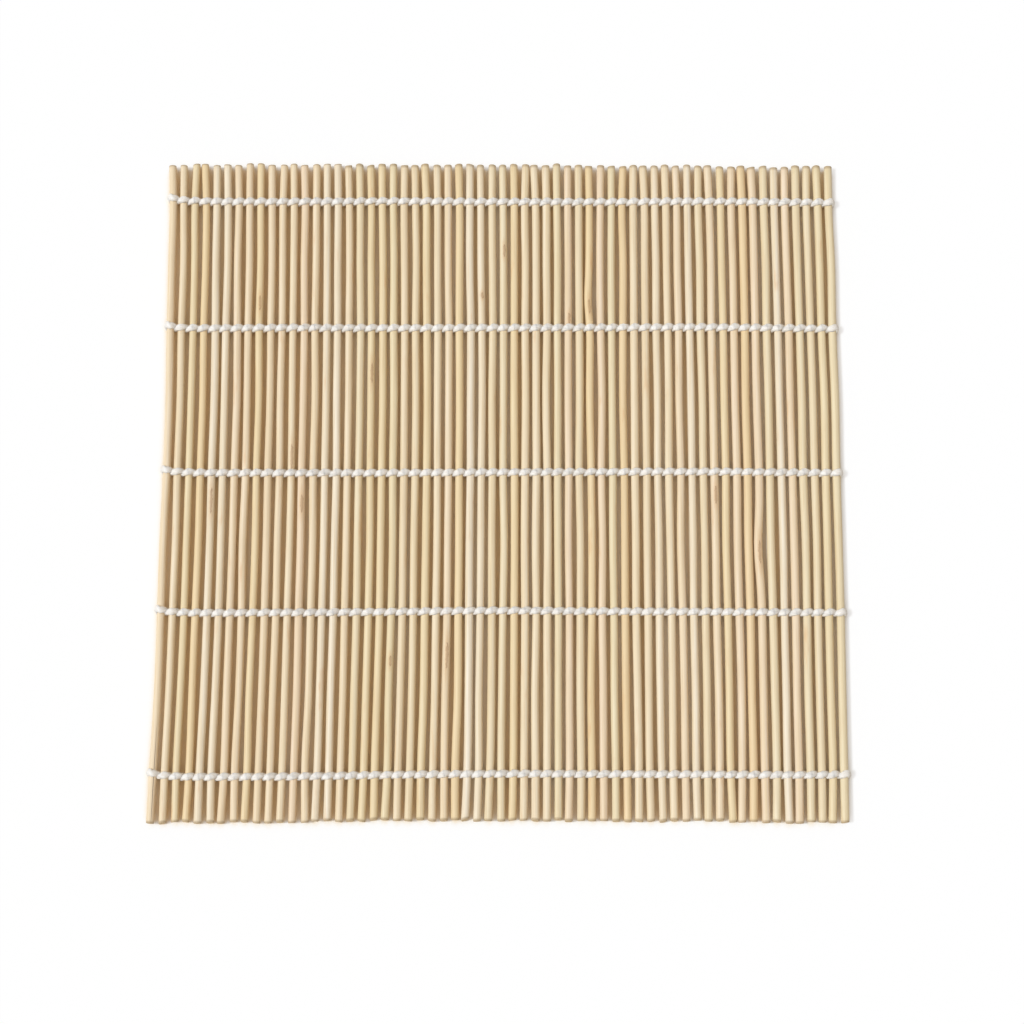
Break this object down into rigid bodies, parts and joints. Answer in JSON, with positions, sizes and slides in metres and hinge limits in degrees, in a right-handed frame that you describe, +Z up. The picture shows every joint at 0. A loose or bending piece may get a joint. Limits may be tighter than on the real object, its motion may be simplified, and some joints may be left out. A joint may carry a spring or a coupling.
{
  "type": "sushi rolling mat",
  "caption": "Square bamboo rolling mat of thin round rods tied side by side with rows of twined cotton cord; lies flat and rolls up either way.",
  "frame": {"origin": "under the middle of the flat mat, on the surface that it lies on", "axes": "+X across the rods, from the doubled cord ends to the closed ones; +Y along the rods, towards the top of the picture; +Z up"},
  "size_m": [0.2418, 0.24, 0.0049],
  "materials": {
    "bamboo": "satin, unvarnished",
    "cotton_cord": "matt twisted cotton"
  },
  "bodies": {
    "section_01": {"rods_01": "bamboo", "cords_01": "cotton_cord"},
    "section_02": {"rods_02": "bamboo", "cords_02": "cotton_cord"},
    "section_03": {"rods_03": "bamboo", "cords_03": "cotton_cord"},
    "section_04": {"rods_04": "bamboo", "cords_04": "cotton_cord"},
    "section_05": {"rods_05": "bamboo", "cords_05": "cotton_cord"},
    "section_06": {"rods_06": "bamboo", "cords_06": "cotton_cord"},
    "section_07": {"rods_07": "bamboo", "cords_07": "cotton_cord"},
    "section_08": {"rods_08": "bamboo", "cords_08": "cotton_cord"},
    "section_09": {"rods_09": "bamboo", "cords_09": "cotton_cord"},
    "section_10": {"rods_10": "bamboo", "cords_10": "cotton_cord"},
    "section_11": {"rods_11": "bamboo", "cords_11": "cotton_cord"},
    "section_12": {"rods_12": "bamboo", "cords_12": "cotton_cord"},
    "section_13": {"rods_13": "bamboo", "cords_13": "cotton_cord"},
    "section_14": {"rods_14": "bamboo", "cords_14": "cotton_cord"},
    "section_15": {"rods_15": "bamboo", "cords_15": "cotton_cord"},
    "section_16": {"rods_16": "bamboo", "cords_16": "cotton_cord"},
    "section_17": {"rods_17": "bamboo", "cords_17": "cotton_cord"},
    "section_18": {"rods_18": "bamboo", "cords_18": "cotton_cord"},
    "section_19": {"rods_19": "bamboo", "cords_19": "cotton_cord"},
    "section_20": {"rods_20": "bamboo", "cords_20": "cotton_cord"},
    "section_21": {"rods_21": "bamboo", "cords_21": "cotton_cord"},
    "section_22": {"rods_22": "bamboo", "cords_22": "cotton_cord"},
    "section_23": {"rods_23": "bamboo", "cords_23": "cotton_cord"},
    "section_24": {"rods_24": "bamboo", "cords_24": "cotton_cord"},
    "section_25": {"rods_25": "bamboo", "cords_25": "cotton_cord"},
    "section_26": {"rods_26": "bamboo", "cords_26": "cotton_cord"},
    "section_27": {"rods_27": "bamboo", "cords_27": "cotton_cord"},
    "section_28": {"rods_28": "bamboo", "cords_28": "cotton_cord"},
    "section_29": {"rods_29": "bamboo", "cords_29": "cotton_cord"},
    "section_30": {"rods_30": "bamboo", "cords_30": "cotton_cord"}
  },
  "joints": [
    {"name": "fold_01", "type": "hinge", "parent": "section_01", "child": "section_02", "pos_m": [-0.10862, 0, 0.00243], "axis": [0, -1, 0], "range_deg": [-17.8, 17.8]},
    {"name": "fold_02", "type": "hinge", "parent": "section_02", "child": "section_03", "pos_m": [-0.10072, 0, 0.00243], "axis": [0, -1, 0], "range_deg": [-18, 18]},
    {"name": "fold_03", "type": "hinge", "parent": "section_03", "child": "section_04", "pos_m": [-0.09283, 0, 0.00243], "axis": [0, -1, 0], "range_deg": [-18.2, 18.2]},
    {"name": "fold_04", "type": "hinge", "parent": "section_04", "child": "section_05", "pos_m": [-0.08493, 0, 0.00243], "axis": [0, -1, 0], "range_deg": [-18.4, 18.4]},
    {"name": "fold_05", "type": "hinge", "parent": "section_05", "child": "section_06", "pos_m": [-0.07702, 0, 0.00243], "axis": [0, -1, 0], "range_deg": [-18.6, 18.6]},
    {"name": "fold_06", "type": "hinge", "parent": "section_06", "child": "section_07", "pos_m": [-0.06913, 0, 0.00243], "axis": [0, -1, 0], "range_deg": [-18.9, 18.9]},
    {"name": "fold_07", "type": "hinge", "parent": "section_07", "child": "section_08", "pos_m": [-0.06123, 0, 0.00243], "axis": [0, -1, 0], "range_deg": [-19.1, 19.1]},
    {"name": "fold_08", "type": "hinge", "parent": "section_08", "child": "section_09", "pos_m": [-0.05332, 0, 0.00243], "axis": [0, -1, 0], "range_deg": [-19.4, 19.4]},
    {"name": "fold_09", "type": "hinge", "parent": "section_09", "child": "section_10", "pos_m": [-0.04543, 0, 0.00243], "axis": [0, -1, 0], "range_deg": [-19.7, 19.7]},
    {"name": "fold_10", "type": "hinge", "parent": "section_10", "child": "section_11", "pos_m": [-0.03753, 0, 0.00243], "axis": [0, -1, 0], "range_deg": [-20, 20]},
    {"name": "fold_11", "type": "hinge", "parent": "section_11", "child": "section_12", "pos_m": [-0.02962, 0, 0.00243], "axis": [0, -1, 0], "range_deg": [-20.3, 20.3]},
    {"name": "fold_12", "type": "hinge", "parent": "section_12", "child": "section_13", "pos_m": [-0.02173, 0, 0.00243], "axis": [0, -1, 0], "range_deg": [-20.6, 20.6]},
    {"name": "fold_13", "type": "hinge", "parent": "section_13", "child": "section_14", "pos_m": [-0.01383, 0, 0.00243], "axis": [0, -1, 0], "range_deg": [-20.9, 20.9]},
    {"name": "fold_14", "type": "hinge", "parent": "section_14", "child": "section_15", "pos_m": [-0.00592, 0, 0.00243], "axis": [0, -1, 0], "range_deg": [-21.3, 21.3]},
    {"name": "fold_15", "type": "hinge", "parent": "section_15", "child": "section_16", "pos_m": [0.00198, 0, 0.00243], "axis": [0, -1, 0], "range_deg": [-21.6, 21.6]},
    {"name": "fold_16", "type": "hinge", "parent": "section_16", "child": "section_17", "pos_m": [0.00988, 0, 0.00243], "axis": [0, -1, 0], "range_deg": [-22, 22]},
    {"name": "fold_17", "type": "hinge", "parent": "section_17", "child": "section_18", "pos_m": [0.01777, 0, 0.00243], "axis": [0, -1, 0], "range_deg": [-22.4, 22.4]},
    {"name": "fold_18", "type": "hinge", "parent": "section_18", "child": "section_19", "pos_m": [0.02567, 0, 0.00243], "axis": [0, -1, 0], "range_deg": [-22.8, 22.8]},
    {"name": "fold_19", "type": "hinge", "parent": "section_19", "child": "section_20", "pos_m": [0.03358, 0, 0.00243], "axis": [0, -1, 0], "range_deg": [-23.3, 23.3]},
    {"name": "fold_20", "type": "hinge", "parent": "section_20", "child": "section_21", "pos_m": [0.04147, 0, 0.00243], "axis": [0, -1, 0], "range_deg": [-23.8, 23.8]},
    {"name": "fold_21", "type": "hinge", "parent": "section_21", "child": "section_22", "pos_m": [0.04938, 0, 0.00243], "axis": [0, -1, 0], "range_deg": [-24.3, 24.3]},
    {"name": "fold_22", "type": "hinge", "parent": "section_22", "child": "section_23", "pos_m": [0.05727, 0, 0.00243], "axis": [0, -1, 0], "range_deg": [-24.8, 24.8]},
    {"name": "fold_23", "type": "hinge", "parent": "section_23", "child": "section_24", "pos_m": [0.06517, 0, 0.00243], "axis": [0, -1, 0], "range_deg": [-25.4, 25.4]},
    {"name": "fold_24", "type": "hinge", "parent": "section_24", "child": "section_25", "pos_m": [0.07308, 0, 0.00243], "axis": [0, -1, 0], "range_deg": [-26, 26]},
    {"name": "fold_25", "type": "hinge", "parent": "section_25", "child": "section_26", "pos_m": [0.08098, 0, 0.00243], "axis": [0, -1, 0], "range_deg": [-26.7, 26.7]},
    {"name": "fold_26", "type": "hinge", "parent": "section_26", "child": "section_27", "pos_m": [0.08887, 0, 0.00243], "axis": [0, -1, 0], "range_deg": [-27.4, 27.4]},
    {"name": "fold_27", "type": "hinge", "parent": "section_27", "child": "section_28", "pos_m": [0.09677, 0, 0.00243], "axis": [0, -1, 0], "range_deg": [-28.2, 28.2]},
    {"name": "fold_28", "type": "hinge", "parent": "section_28", "child": "section_29", "pos_m": [0.10468, 0, 0.00243], "axis": [0, -1, 0], "range_deg": [-29.1, 29.1]},
    {"name": "fold_29", "type": "hinge", "parent": "section_29", "child": "section_30", "pos_m": [0.11257, 0, 0.00243], "axis": [0, -1, 0], "range_deg": [-30, 30]}
  ]
}
